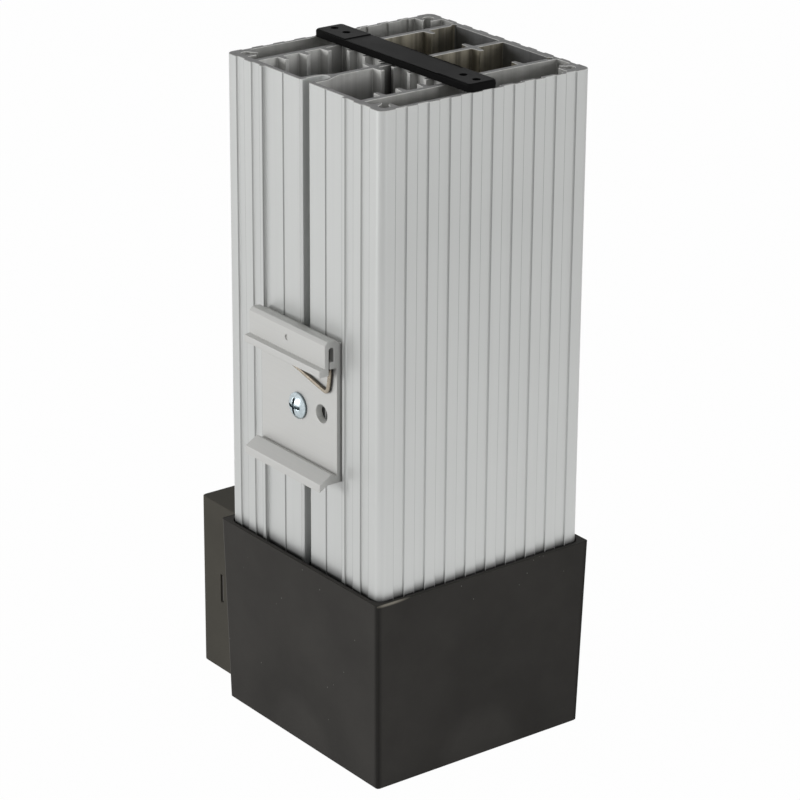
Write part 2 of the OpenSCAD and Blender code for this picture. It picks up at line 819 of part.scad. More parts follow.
module shaft_clip() {
  thick = 0.5;
  wall = 0.9;
  color("gray") translate([0, 0, shaft_clip_z]) difference() {
    cylinder(r = shaft_r + wall, h = thick);
    translate([0, 0, -cut]) cylinder(r = shaft_r + press, h = thick + 2 * cut);
  }
}

module rotor_ring(r, t) {
  z = cup_z + cup_floor + snug;
  sunk = 0.5;
  translate([0, 0, z]) difference() {
    cylinder(r = r, h = cup_top - z - sunk);
    translate([0, 0, -cut]) cylinder(r = r - t, h = fan_t);
  }
}

module rotor_yoke() {
  color("dimgray") rotor_ring(yoke_r, yoke_t);
}

module rotor_magnet() {
  color("saddlebrown") rotor_ring(magnet_r, magnet_t);
}

module fan_bearings() {
  top = shaft_clip_z - 2 * snug;
  inset = 0.5;
  color("silver") for (z = [tube_z + inset, top - bearing_h]) translate([0, 0, z]) difference() {
    cylinder(r = bearing_r, h = bearing_h);
    translate([0, 0, -cut]) cylinder(r = shaft_r + shaft_gap, h = bearing_h + 2 * cut);
  }
}

module stator_core() {
  core_in = tube_out + snug;
  gap_w = 3;
  color("slategray") translate([0, 0, stator_z]) linear_extrude(stator_h) {
    difference() {
      circle(core_in + ring_t);
      circle(core_in);
    }
    difference() {
      for (a = [0, 90]) rotate(a) square([2 * stator_r - shoe_t, pole_w], center = true);
      circle(core_in + ring_t / 2);
    }
    difference() {
      circle(stator_r);
      circle(stator_r - shoe_t);
      for (a = [45, 135]) rotate(a) square([3 * stator_r, gap_w], center = true);
    }
  }
}

module stator_coils() {
  r0 = tube_out + snug + ring_t + slip;
  hole = pole_w / 2 + snug;
  half = hole + coil_t;
  r1 = sqrt(pow(stator_r - shoe_t, 2) - pow(half, 2)) - slip;
  z0 = stator_z - snug;
  z1 = stator_z + stator_h + snug;
  color("peru") for (a = [0:90:270]) rotate(a) difference() {
    block([r0, -half, stator_z - coil_t], [r1, half, stator_z + stator_h + coil_t]);
    block([r0 - cut, -hole, z0], [r1 + cut, hole, z1]);
  }
}

module fan_circuit_board() {
  board_t = 1.2;
  color("darkgreen") translate([0, 0, stator_z + stator_h + coil_t + snug]) difference() {
    cylinder(r = stator_r, h = board_t);
    translate([0, 0, -cut]) cylinder(r = tube_out + snug, h = board_t + 2 * cut);
  }
}

module fan_screws() {
  bite = flange_t + 2;
  seat = fan_screw_head_h + slip;
  color("lightsteelblue") for (c = corners) translate([c.x * fan_hole, c.y * fan_hole, seat])
    screw(fan_screw_r, fan_z + bite - seat, fan_screw_head_r, fan_screw_head_h);
}

// Rail clip

// Section of the clip: x is the depth from the profile, y is the height
module clip_2d() {
  bevel = 1.1;
  back_bevel = 1.6;
  tip_h = 2.7;
  tip_drop = 1.8;
  peak = [clip_plate + 2.2, notch_z + 1.1];
  jaw_l = 2.8;
  lip_h = 2.3;
  lip_rise = 0.3;
  stub_h = 2.3;
  stub_gap = 0.35;
  slot_r = clip_slot_w / 2;
  slot_top = clip_top - 2.1;
  thick = leg_in - clip_slot_w;
  difference() {
    polygon([[0, clip_z], [clip_d - jaw_l, clip_z], [clip_d, clip_z - tip_drop],
             [clip_d, clip_z - tip_drop + tip_h], peak, [clip_plate, notch_z],
             [clip_plate, stub_z], [leg_in - stub_gap, stub_z], [leg_in - stub_gap, stub_z + stub_h],
             [thick, stub_z + stub_h], [thick, slot_top - slot_r], [leg_in, slot_top - slot_r],
             [leg_in, lip_z], [clip_d, lip_z], [clip_d, lip_z + lip_h], [leg_d, lip_z + lip_h + lip_rise],
             [leg_d, clip_top - bevel], [leg_d - bevel, clip_top], [2 * back_bevel, clip_top],
             [back_bevel / 2, clip_top - back_bevel], [0, clip_top - back_bevel]]);
    translate([leg_in - slot_r, slot_top - slot_r]) circle(slot_r);
  }
}

module din_clip() {
  punch_r = 0.9;
  punch_d = 0.6;
  punch_down = 4.2;
  color("gainsboro") difference() {
    translate([-clip_w / 2, seat_y, 0]) rotate([0, 0, -90]) rotate([90, 0, 0])
      translate([0, 0, -clip_w]) linear_extrude(clip_w) clip_2d();
    translate([0, seat_y + cut, clip_z + clip_screw_up]) rotate([90, 0, 0])
      cylinder(r = channel_screw_r + 2 * slip, h = clip_plate + 2 * cut);
    translate([clip_hole_x, seat_y + cut, clip_z + clip_hole_up]) rotate([90, 0, 0])
      cylinder(r = clip_hole_r, h = clip_plate + 2 * cut);
    translate([0, seat_y - leg_d + punch_d, clip_top - punch_down]) rotate([90, 0, 0])
      cylinder(r = punch_r, h = cut);
  }
}

// The wire hangs from the upper hook, turns round a bend and runs up along the plate
module clip_spring() {
  drop = 6.9;
  bend_in = 4.6;
  bend_r = 2.3;
  arm_l = 28;
  arm_rise = 6.6;
  arm_mid = 0.46;
  top = stub_z - wire_r / 4;
  low = lip_z - drop;
  bend_x = clip_w / 2 - bend_in;
  route = [[bend_x + bend_r, top], [bend_x + 0.83 * bend_r, low + 1.75 * bend_r],
           [bend_x + 0.43 * bend_r, low], [bend_x - 0.65 * bend_r, low + 0.09 * bend_r],
           [bend_x - arm_mid * arm_l, low + arm_mid * arm_rise], [bend_x - arm_l, low + arm_rise]];
  color("tan") wire(smooth([for (p = route) [p.x, spring_y, p.y]], 3), wire_r, 10);
}

module clip_screw() {
  dome_r = 6.2;
  recess = 1.1;
  bar_t = 1;
  grip = 9;
  color("lightsteelblue") translate([0, seat_y - clip_plate, clip_z + clip_screw_up])
    rotate([90, 0, 0]) difference() {
      union() {
        translate([0, 0, -grip]) cylinder(r = channel_screw_r, h = grip + snug);
        intersection() {
          cylinder(r = clip_head_r, h = clip_head_h);
          translate([0, 0, clip_head_h - dome_r]) sphere(r = dome_r);
        }
      }
      for (a = [0, 90]) rotate(a)
        translate([0, 0, clip_head_h]) cube([1.3 * clip_head_r, bar_t, 2 * recess], center = true);
      translate([0, 0, clip_head_h]) cube([3 * clip_head_r, bar_t, recess], center = true);
    }
}

heatsink_profile();
top_bar();
heater_cassette_left();
heater_cassette_right();
clamp_plates();
temperature_limiter();
base_housing();
terminal_cover();
terminal_block();
terminal_screws();
profile_screws();
fan_frame();
fan_impeller();
fan_shaft();
shaft_clip();
rotor_yoke();
rotor_magnet();
fan_bearings();
stator_core();
stator_coils();
fan_circuit_board();
fan_screws();
heater_leads();
fan_lead();
earth_lead();
earth_lug();
earth_screw();
din_clip();
clip_spring();
clip_screw();
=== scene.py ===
import json
import math

import bmesh
import bpy
from mathutils import Matrix, Vector


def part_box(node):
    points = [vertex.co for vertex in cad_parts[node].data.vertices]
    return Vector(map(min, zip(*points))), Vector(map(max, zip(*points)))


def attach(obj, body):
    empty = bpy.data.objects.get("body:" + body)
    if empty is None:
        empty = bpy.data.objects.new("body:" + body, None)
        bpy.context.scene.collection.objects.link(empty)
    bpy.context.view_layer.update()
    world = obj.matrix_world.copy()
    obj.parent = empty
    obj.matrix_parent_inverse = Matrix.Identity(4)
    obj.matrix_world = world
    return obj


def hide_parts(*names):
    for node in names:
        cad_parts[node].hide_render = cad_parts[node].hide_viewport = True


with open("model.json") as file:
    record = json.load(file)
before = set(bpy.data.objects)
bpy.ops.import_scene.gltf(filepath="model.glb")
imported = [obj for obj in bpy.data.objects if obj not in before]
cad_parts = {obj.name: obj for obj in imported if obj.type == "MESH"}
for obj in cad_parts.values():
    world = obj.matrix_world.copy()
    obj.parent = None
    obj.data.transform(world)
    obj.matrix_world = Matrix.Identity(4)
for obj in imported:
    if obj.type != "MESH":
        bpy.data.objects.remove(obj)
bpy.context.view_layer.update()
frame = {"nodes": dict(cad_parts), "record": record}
NODES = frame["nodes"]

MM = 0.001

# How far the dressed profile's faces lie inside the solid's, and how far the base's sides lean out
FACE_IN = 0.4 * MM
BASE_TAPER = 1.5 * MM

# The clip's spare hole, and the spot of painted shade on the profile behind it
SPARE_HOLE_AT = (11.9 * MM, 0.0, 117.4 * MM)
SPARE_HOLE_R = 3 * MM
SHADE_SPOT_AT = (10.3 * MM, -38.5 * MM, 116.6 * MM)
SHADE_SPOT_R = 2.1 * MM

# Camera, fitted to the photograph's edges
CAMERA_AT = Vector((0.76376, -0.58277, 0.48951))
CAMERA_AZIMUTH = math.radians(52.744)
CAMERA_ELEVATION = math.radians(21.63)
CAMERA_ROLL = math.radians(0.393)
SENSOR = 36.0
LENS = 147.235

# Light
AMBIENT = 0.25
FLOOR_GLOW = 0.985
LAMPS = {
    "key": {"at": (-0.92, -2.82, 0.55), "wide": 1.2, "tall": 0.9, "watts": 42.0},
    "fill": {"at": (2.82, 0.92, 0.55), "wide": 1.0, "tall": 0.9, "watts": 22.0},
}
AIM = Vector((0.0, 0.0, 0.1))


# Camera, lamps, world and floor

def make_camera():
    back = Vector((math.sin(CAMERA_AZIMUTH) * math.cos(CAMERA_ELEVATION),
                   -math.cos(CAMERA_AZIMUTH) * math.cos(CAMERA_ELEVATION),
                   math.sin(CAMERA_ELEVATION)))
    right = Vector((math.cos(CAMERA_AZIMUTH), math.sin(CAMERA_AZIMUTH), 0.0))
    up = back.cross(right)
    c, s = math.cos(CAMERA_ROLL), math.sin(CAMERA_ROLL)
    axes = (c * right + s * up, c * up - s * right, back)
    camera = bpy.data.objects.new("camera", bpy.data.cameras.new("camera"))
    camera.matrix_world = Matrix.Translation(CAMERA_AT) @ Matrix(axes).transposed().to_4x4()
    camera.data.sensor_width = SENSOR
    camera.data.lens = LENS
    camera.data.clip_start = 0.01
    camera.data.clip_end = 50.0
    bpy.context.scene.collection.objects.link(camera)
    bpy.context.scene.camera = camera


def make_lamps():
    for name, lamp in LAMPS.items():
        light = bpy.data.lights.new(name, "AREA")
        light.energy = lamp["watts"]
        light.shape = "RECTANGLE"
        light.size = lamp["wide"]
        light.size_y = lamp["tall"]
        obj = bpy.data.objects.new(name, light)
        obj.location = lamp["at"]
        obj.rotation_mode = "QUATERNION"
        obj.rotation_quaternion = (AIM - obj.location).to_track_quat("-Z", "Y")
        bpy.context.scene.collection.objects.link(obj)


def seen_directly(tree):
    """1 for what the camera, a reflection or a clear surface sees, and 0 for light that bounces."""
    path = tree.nodes.new("ShaderNodeLightPath")
    total = path.outputs["Is Camera Ray"]
    for ray in ("Is Glossy Ray", "Is Transmission Ray"):
        either = tree.nodes.new("ShaderNodeMath")
        either.operation = "MAXIMUM"
        tree.links.new(total, either.inputs[0])
        tree.links.new(path.outputs[ray], either.inputs[1])
        total = either.outputs[0]
    return total


def make_world():
    world = bpy.data.worlds.new("studio")
    world.use_nodes = True
    bpy.context.scene.world = world
    tree = world.node_tree
    background = tree.nodes["Background"]
    background.inputs["Color"].default_value = (1, 1, 1, 1)
    strength = tree.nodes.new("ShaderNodeMapRange")
    strength.inputs["To Min"].default_value = AMBIENT
    strength.inputs["To Max"].default_value = 1.0
    tree.links.new(seen_directly(tree), strength.inputs["Value"])
    tree.links.new(strength.outputs["Result"], background.inputs["Strength"])


def make_floor():
    mesh = bpy.data.meshes.new("floor")
    half, drop = 4.0, 0.1 * MM
    corners = ((-half, -half), (half, -half), (half, half), (-half, half))
    mesh.from_pydata([(x, y, -drop) for x, y in corners], [], [(0, 1, 2, 3)])
    floor = bpy.data.objects.new("floor", mesh)
    bpy.context.scene.collection.objects.link(floor)
    material = bpy.data.materials.new("pale_floor")
    material.use_nodes = True
    tree = material.node_tree
    tree.nodes.remove(tree.nodes["Principled BSDF"])
    paper = tree.nodes.new("ShaderNodeBsdfDiffuse")
    paper.inputs["Color"].default_value = (0.93, 0.93, 0.93, 1)
    glow = tree.nodes.new("ShaderNodeEmission")
    glow.inputs["Strength"].default_value = 1.0
    share = tree.nodes.new("ShaderNodeMath")
    share.operation = "MULTIPLY"
    share.inputs[1].default_value = FLOOR_GLOW
    both = tree.nodes.new("ShaderNodeMixShader")
    tree.links.new(seen_directly(tree), share.inputs[0])
    tree.links.new(share.outputs[0], both.inputs["Fac"])
    tree.links.new(paper.outputs[0], both.inputs[1])
    tree.links.new(glow.outputs[0], both.inputs[2])
    one_sided = tree.nodes.new("ShaderNodeMixShader")
    tree.links.new(tree.nodes.new("ShaderNodeNewGeometry").outputs["Backfacing"], one_sided.inputs["Fac"])
    tree.links.new(both.outputs[0], one_sided.inputs[1])
    tree.links.new(tree.nodes.new("ShaderNodeBsdfTransparent").outputs[0], one_sided.inputs[2])
    tree.links.new(one_sided.outputs[0], tree.nodes["Material Output"].inputs["Surface"])
    mesh.materials.append(material)


# Materials

class Finish:
    """A material with one principled surface, and short ways to add nodes to it."""

    def __init__(self, name, color, rough, metallic=0.0, **sockets):
        self.material = bpy.data.materials.new(name)
        self.material.use_nodes = True
        self.tree = self.material.node_tree
        self.surface = self.tree.nodes["Principled BSDF"]
        self.color = color
        self.rough = rough
        plain = {"Base Color": (*color, 1), "Roughness": rough, "Metallic": metallic}
        self.put(self.surface, {**plain, **sockets})
        self.place = self.tree.nodes.new("ShaderNodeTexCoord").outputs["Object"]

    def put(self, node, sockets):
        for key, value in sockets.items():
            if isinstance(value, bpy.types.NodeSocket):
                self.tree.links.new(value, node.inputs[key])
            else:
                node.inputs[key].default_value = value
        return node

    def add(self, kind, sockets, **settings):
        node = self.tree.nodes.new("ShaderNode" + kind)
        for key, value in settings.items():
            setattr(node, key, value)
        return self.put(node, sockets)

    def math(self, operation, a, b):
        return self.add("Math", {0: a, 1: b}, operation=operation).outputs[0]

    def scaled(self, scale):
        return self.add("Mapping", {"Vector": self.place, "Scale": scale}).outputs[0]

    def axis(self, name):
        """Each point's X, Y or Z in the frame."""
        return self.add("SeparateXYZ", {0: self.place}).outputs[name]

    def distance(self, place, point):
        return self.add("VectorMath", {0: place, 1: point}, operation="DISTANCE").outputs["Value"]

    def open_air(self, reach):
        """1 where nothing stands within a reach, and less in gaps and corners."""
        return self.add("AmbientOcclusion", {"Distance": reach}, samples=16).outputs["AO"]

    def noise(self, scale, detail=3.0, rough=0.55):
        """Noise whose grains are 1 / scale metres along each axis."""
        sockets = {"Vector": self.scaled(scale), "Scale": 1.0, "Detail": detail, "Roughness": rough}
        return self.add("TexNoise", sockets).outputs["Fac"]

    def ramp(self, value, low, high, out_low, out_high):
        sockets = {"Value": value, "From Min": low, "From Max": high, "To Min": out_low, "To Max": out_high}
        return self.add("MapRange", sockets).outputs["Result"]

    def tint(self, value, low, high):
        """The colour, darker or lighter by the factors low to high as value goes from 0.3 to 0.7."""
        factor = self.ramp(value, 0.3, 0.7, 0.0, 1.0)
        ends = [tuple(min(1.0, k * c) for c in self.color) + (1,) for k in (low, high)]
        return self.blend(factor, *ends)

    def blend(self, factor, a, b, how="MIX"):
        mix = self.add("Mix", {"Factor": factor}, data_type="RGBA", blend_type=how)
        for socket, value in zip([i for i in mix.inputs if i.type == "RGBA"], (a, b)):
            if isinstance(value, bpy.types.NodeSocket):
                self.tree.links.new(value, socket)
            else:
                socket.default_value = value
        return next(o for o in mix.outputs if o.type == "RGBA")

    def paint(self, color):
        self.put(self.surface, {"Base Color": color})

    def shade(self, where, factor):
        """Multiplies the painted colour by a factor where a value is 1."""
        painted = self.surface.inputs["Base Color"].links[0].from_socket
        self.paint(self.blend(where, painted, (factor, factor, factor, 1), "MULTIPLY"))

    def gloss(self, value, spread):
        rough = self.ramp(value, 0.25, 0.75, self.rough - spread, self.rough + spread)
        self.put(self.surface, {"Roughness": rough})

    def bump(self, *heights):
        """Stacks bumps, each a height from 0 to 1 and its depth in metres."""
        normal = None
        for value, depth in heights:
            sockets = {"Height": value, "Distance": depth, "Strength": 1.0}
            if normal:
                sockets["Normal"] = normal
            normal = self.add("Bump", sockets).outputs["Normal"]
        self.put(self.surface, {"Normal": normal})


def drawn_metal(name, color, rough, metallic, along, streak=0.03, depth=0.004):
    """Extruded or drawn metal: streaks that run along one axis, and a soft cloudiness."""
    made = Finish(name, color, rough, metallic)
    fine = made.noise([20.0 if i == along else 2600.0 for i in range(3)])
    broad = made.noise([6.0 if i == along else 420.0 for i in range(3)], 2.0)
    cloud = made.noise((55.0, 55.0, 55.0), 4.0)
    mixed = made.math("ADD", made.math("MULTIPLY", broad, 0.6), made.math("MULTIPLY", cloud, 0.4))
    made.paint(made.tint(mixed, 1.0 - streak, 1.0 + streak))
    made.gloss(fine, 0.06)
    made.bump((fine, depth * MM), (broad, 2 * depth * MM))
    return made


def metal_with_painted_shade(name, color, rough, dark, reach):
    """Plated metal with painted shade where something stands close to it, within a reach."""
    made = Finish(name, color, rough, 1.0)
    fine = made.noise((900.0, 900.0, 900.0))
    lit = made.ramp(made.open_air(reach), 0.45, 0.95, 0.0, 1.0)
    made.paint(made.blend(lit, (*dark, 1), made.tint(fine, 0.85, 1.15)))
    made.gloss(fine, 0.06)
    made.bump((fine, 0.004 * MM))
    return made


def grained_plastic(name, color, rough, grain=3200.0, depth=0.012, specular=0.5, tones=(0.88, 1.12)):
    """Moulded plastic with a fine eroded grain and slow changes of tone and gloss."""
    made = Finish(name, color, rough, 0.0, **{"Specular IOR Level": specular})
    fine = made.noise((grain, grain, grain), 2.0)
    cloud = made.noise((38.0, 38.0, 38.0), 5.0)
    made.paint(made.tint(cloud, *tones))
    made.gloss(cloud, 0.07)
    made.bump((fine, depth * MM))
    return made


def painted_side_light(made, all_over, below):
    """Painted light and shade: scales the tone of the two faces across X, all over and once more towards
    the base.
    """
    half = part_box("heatsink_profile")[1].x
    full_z, none_z = 60 * MM, 180 * MM
    across = made.math("ABSOLUTE", made.axis("X"), 0.0)
    sides = made.ramp(across, half - 2.5 * MM, half - 1 * MM, 0.0, 1.0)
    low = made.ramp(made.axis("Z"), full_z, none_z, 1.0, 0.0)
    made.shade(sides, all_over)
    made.shade(made.math("MULTIPLY", sides, low), below)


def painted_shade_near_base(made):
    """Painted shade in the gap between the base's rim and the profile."""
    rim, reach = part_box("base_housing")[1].z, 4 * MM
    near = made.ramp(made.axis("Z"), rim, rim + reach, 1.0, 0.0)
    closed = made.ramp(made.open_air(reach), 0.4, 1.0, 1.0, 0.0)
    made.shade(made.math("MULTIPLY", near, closed), 0.15)


def anodised_profile():
    """The profile's satin outside, with painted shade in the spot behind the clip's spare hole."""
    made = drawn_metal("anodised_profile", (0.59, 0.6, 0.59), 0.42, 0.45, Z, 0.02)
    # Painted shade in a spot behind the clip's spare hole
    away = made.distance(made.place, SHADE_SPOT_AT)
    made.shade(made.ramp(away, 0.9 * SHADE_SPOT_R, SHADE_SPOT_R, 1.0, 0.0), 0.04)
    # Painted light and shade on the two faces across X, lighter towards the base
    painted_side_light(made, 0.955, 1.215)
    # Painted shade in the gap behind the base's rim
    painted_shade_near_base(made)
    return made


def rounding_with_painted_shade():
    """The rounded edges of the flutes, in a darker copy of the profile's metal as painted shade."""
    # Painted shade: the rounded edges are darker than the profile's face
    made = drawn_metal("profile_rounding", (0.3, 0.305, 0.3), 0.45, 0.45, Z, 0.05)
    # Painted light on the rounded edges across X, lighter towards the base
    painted_side_light(made, 1.05, 1.9)
    return made


def channel_painted_shade():
    """The screw channel's walls, brightest at the mouth: a lighter copy of the profile's metal as painted
    light, with painted shade deeper in the channel.
    """
    made = drawn_metal("profile_channel", (0.7, 0.71, 0.7), 0.42, 0.45, Z, 0.05)
    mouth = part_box("heatsink_profile")[0].y + 2.1 * MM
    # Painted shade deeper in the channel than at its mouth
    made.shade(made.ramp(made.axis("Y"), mouth, mouth + 1.2 * MM, 0.0, 1.0), 0.88)
    # Painted shade in the channel near the base's rim
    painted_shade_near_base(made)
    return made


def chamber_painted_shade():
    """The front chambers' walls, with painted shade deeper below the sawn end and between the fins."""
    made = drawn_metal("profile_front", (0.62, 0.62, 0.605), 0.55, 0.88, Z, 0.15, 0.01)
    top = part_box("heatsink_profile")[1].z
    # Painted shade deeper below the sawn end and between the fins
    made.shade(made.ramp(made.axis("Z"), top - 11 * MM, top - 2 * MM, 1.0, 0.0), 0.5)
    made.shade(made.ramp(made.open_air(5 * MM), 0.3, 0.8, 1.0, 0.0), 0.35)
    return made


def clip_metal():
    """The clip's matte aluminium, with painted shade on the end that is sunk in the profile's recess, and
    bright in the spare hole."""
    made = drawn_metal("clip_aluminium", (0.56, 0.56, 0.545), 0.55, 0.45, X, 0.012, 0.002)
    face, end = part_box("heatsink_profile")[0].y + FACE_IN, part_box("din_clip")[1].x
    sunk = made.ramp(made.axis("Y"), face - 0.1 * MM, face + 0.1 * MM, 0.0, 1.0)
    side = made.ramp(made.axis("X"), end - 0.6 * MM, end - 0.5 * MM, 0.0, 1.0)
    # Painted shade on the side face that is sunk below the profile's face
    made.shade(made.math("MULTIPLY", sunk, side), 0.6)
    away = made.distance(made.scaled((1, 0, 1)), SPARE_HOLE_AT)
    made.shade(made.ramp(away, SPARE_HOLE_R, SPARE_HOLE_R + 0.1 * MM, 1.0, 0.0), 1.5)
    return made


def sawn_metal_painted_dark():
    """Sawn ends of the profile: fine parallel saw marks on metal painted dark, as a painted reflection of
    dark surroundings.
    """
    # Painted reflection: the sawn metal is painted dark
    made = Finish("sawn_aluminium", (0.17, 0.17, 0.168), 0.55, 0.6)
    marks = made.noise((60.0, 3400.0, 60.0), 3.0)
    cloud = made.noise((420.0, 420.0, 420.0), 4.0)
    made.paint(made.tint(made.math("MULTIPLY", made.math("ADD", marks, cloud), 0.5), 0.6, 1.3))
    made.gloss(marks, 0.1)
    made.bump((marks, 0.02 * MM))
    return made


def flow_rings(made, foot, reach):
    """A tone near 1 that draws faint rings around the middle of each side's foot."""
    ring_r, ring_w, waver = 21 * MM, 5 * MM, 6 * MM
    nearest = None
    for x, y in ((reach, 0), (-reach, 0), (0, reach), (0, -reach)):
        away = made.distance(made.place, (x, y, foot))
        nearest = made.math("MINIMUM", nearest, away) if nearest else away
    reached = made.math("ADD", nearest, made.math("MULTIPLY", made.noise((70.0, 70.0, 70.0), 2.0), waver))
    inner = made.ramp(reached, ring_r - ring_w, ring_r, 1.06, 0.9)
    outer = made.ramp(reached, ring_r + ring_w, ring_r + 3 * ring_w, 1.0, 1.11)
    return made.math("MULTIPLY", inner, outer)


def pale_specks(made):
    """1 in a few small dots."""
    dot_r, left_out = 0.06, 0.8
    cells = made.add("TexVoronoi", {"Vector": made.place, "Scale": 330.0}, feature="F1")
    draw = made.add("SeparateColor", {0: cells.outputs["Color"]}).outputs[0]
    dots = made.math("LESS_THAN", cells.outputs["Distance"], dot_r)
    return made.math("MULTIPLY", dots, made.math("GREATER_THAN", draw, left_out))


def painted_rim_highlight(made, reach, top):
    """A painted highlight: up to 0.8 along a short stretch of the rim's outer edge, next to one corner."""
    middle, squeeze = 5 * MM, 9.0
    along = made.distance(made.scaled((1, 1, squeeze)), (reach, middle - reach, squeeze * top))
    outer = made.ramp(made.axis("X"), reach - 0.5 * MM, reach - 0.3 * MM, 0.0, 1.0)
    return made.math("MULTIPLY", outer, made.ramp(along, 2.5 * MM, 8 * MM, 0.8, 0.0))


def painted_edge_light(made, reach, top):
    """Paints the base's upright edges: a painted highlight on the terminal side and painted shade on the
    other.
    """
    foot = 2 * (reach - BASE_TAPER)
    for side, tone, wide in ((-1, 2.2, 1 * MM), (1, 0.55, 2 * MM)):
        for hand in (-1, 1):
            sockets = {0: made.place, 1: (side, hand, -2 * BASE_TAPER / top)}
            out = made.add("VectorMath", sockets, operation="DOT_PRODUCT").outputs["Value"]
            made.shade(made.ramp(out, foot - wide, foot - 0.7 * MM, 0.0, 1.0), tone)


def base_plastic():
    """The base's charcoal plastic: fine grain, faint flow rings, a few pale specks, a painted highlight on
    one stretch of the rim and painted highlights and shade on its upright edges."""
    made = grained_plastic("base_plastic", (0.055, 0.0525, 0.049), 0.55, specular=0.03, tones=(0.86, 1.14))
    low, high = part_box("base_housing")
    clouded = made.surface.inputs["Base Color"].links[0].from_socket
    ringed = made.blend(1.0, clouded, flow_rings(made, low.z, high.x), "MULTIPLY")
    specked = made.blend(pale_specks(made), ringed, (0.2, 0.195, 0.185, 1))
    # Painted highlight on a stretch of the rim's outer edge
    made.paint(made.blend(painted_rim_highlight(made, high.x, high.z), specked, (0.42, 0.39, 0.33, 1)))
    # Painted highlight and painted shade on the base's upright edges
    painted_edge_light(made, high.x, high.z)
    return made


def striped_sheath():
    """Two-colour insulation of the earth lead."""
    made = Finish("earth_sheath", (0.25, 0.42, 0.03), 0.5)
    wave = made.add("TexWave", {"Vector": made.scaled((1.0, 1.0, 0.4)), "Scale": 320.0, "Distortion": 0.0},
                    wave_type="BANDS", bands_direction="DIAGONAL")
    stripe = made.ramp(wave.outputs["Fac"], 0.62, 0.7, 0.0, 1.0)
    made.paint(made.blend(stripe, (0.07, 0.27, 0.03, 1), (0.72, 0.58, 0.03, 1)))
    made.bump((made.noise((2500.0, 2500.0, 2500.0)), 0.01 * MM))
    return made


def windings():
    """Enamelled copper wire, layer beside layer."""
    made = Finish("copper", (0.48, 0.16, 0.06), 0.3, 0.9)
    wave = made.add("TexWave", {"Vector": made.place, "Scale": 900.0, "Distortion": 1.0},
                    wave_type="BANDS", bands_direction="DIAGONAL")
    made.paint(made.tint(wave.outputs["Fac"], 0.7, 1.15))
    made.bump((wave.outputs["Fac"], 0.08 * MM))
    return made


def circuit_board():
    """Solder mask over faint copper tracks."""
    made = Finish("circuit_board", (0.015, 0.09, 0.035), 0.35)
    tracks = made.add("TexBrick", {"Vector": made.place, "Scale": 260.0, "Mortar Size": 0.06,
                                   "Color1": (0.012, 0.075, 0.03, 1), "Color2": (0.016, 0.1, 0.04, 1),
                                   "Mortar": (0.04, 0.17, 0.06, 1)})
    made.paint(tracks.outputs["Color"])
    made.bump((made.noise((1500.0, 1500.0, 1500.0)), 0.01 * MM))
    return made


X, Y, Z = range(3)
MATERIALS = {
    "profile": anodised_profile(),
    "profile_rounding": rounding_with_painted_shade(),
    # The side channels' and back chambers' walls are darker copies of the profile's metal, as painted shade
    # that is deepest on the back chambers' rear walls; the back chambers' walls also carry strong brownish
    # streaks
    "profile_inside": drawn_metal("profile_inside", (0.43, 0.43, 0.415), 0.55, 0.88, Z, 0.15, 0.01),
    "profile_front": chamber_painted_shade(),
    "profile_back": drawn_metal("profile_back", (0.32, 0.297, 0.24), 0.45, 0.95, Z, 0.75, 0.015),
    "profile_rear": drawn_metal("profile_rear", (0.22, 0.222, 0.224), 0.45, 0.95, Z, 0.2, 0.015),
    "profile_channel": channel_painted_shade(),
    "profile_cut": sawn_metal_painted_dark(),
    "profile_edge": drawn_metal("sawn_edge", (0.46, 0.46, 0.445), 0.45, 1.0, X, 0.35, 0.02),
    "clip": clip_metal(),
    "cassette": drawn_metal("cassette_aluminium", (0.6, 0.6, 0.6), 0.35, 1.0, Z),
    "base": base_plastic(),
    "cover": grained_plastic("cover_plastic", (0.085, 0.08, 0.068), 0.55, specular=0.03),
    "black": grained_plastic("black_plastic", (0.008, 0.008, 0.008), 0.45, specular=0.02),
    "fan": grained_plastic("fan_plastic", (0.012, 0.012, 0.013), 0.4),
    "terminal": grained_plastic("terminal_plastic", (0.3, 0.33, 0.28), 0.5),
    "limiter": grained_plastic("limiter_plastic", (0.62, 0.58, 0.46), 0.45),
    # The clip screw and the spring get painted shade where something stands close to them
    "clip_screw": metal_with_painted_shade("clip_screw_zinc", (0.5, 0.57, 0.6), 0.25, (0.06, 0.09, 0.1), 1.6 * MM),
    "zinc": drawn_metal("zinc_steel", (0.68, 0.73, 0.78), 0.22, 1.0, X, 0.05, 0.002),
    "steel": drawn_metal("bright_steel", (0.56, 0.56, 0.57), 0.28, 1.0, Z),
    "spring": metal_with_painted_shade("spring_steel", (0.36, 0.315, 0.255), 0.25, (0.03, 0.025, 0.02), 3 * MM),
    "tinned": drawn_metal("tinned_copper", (0.68, 0.68, 0.67), 0.35, 1.0, X),
    "magnet": grained_plastic("magnet", (0.08, 0.065, 0.055), 0.6),
    "white": grained_plastic("white_silicone", (0.72, 0.71, 0.68), 0.55),
    "sheath": grained_plastic("black_sheath", (0.02, 0.02, 0.02), 0.5),
    "earth": striped_sheath(),
    "copper": windings(),
    "board": circuit_board(),
}


# Pieces

def link(name, mesh, finishes):
    piece = bpy.data.objects.new(name, mesh)
    for finish in finishes:
        mesh.materials.append(MATERIALS[finish].material)
    bpy.context.scene.collection.objects.link(piece)
    return piece


def stand_for(piece, node):
    """The piece takes the node's place and body."""
    body = next(b for b, members in frame["record"]["behaviour"]["bodies"].items() if node in members)
    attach(piece, body)
    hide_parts(node)
    return piece


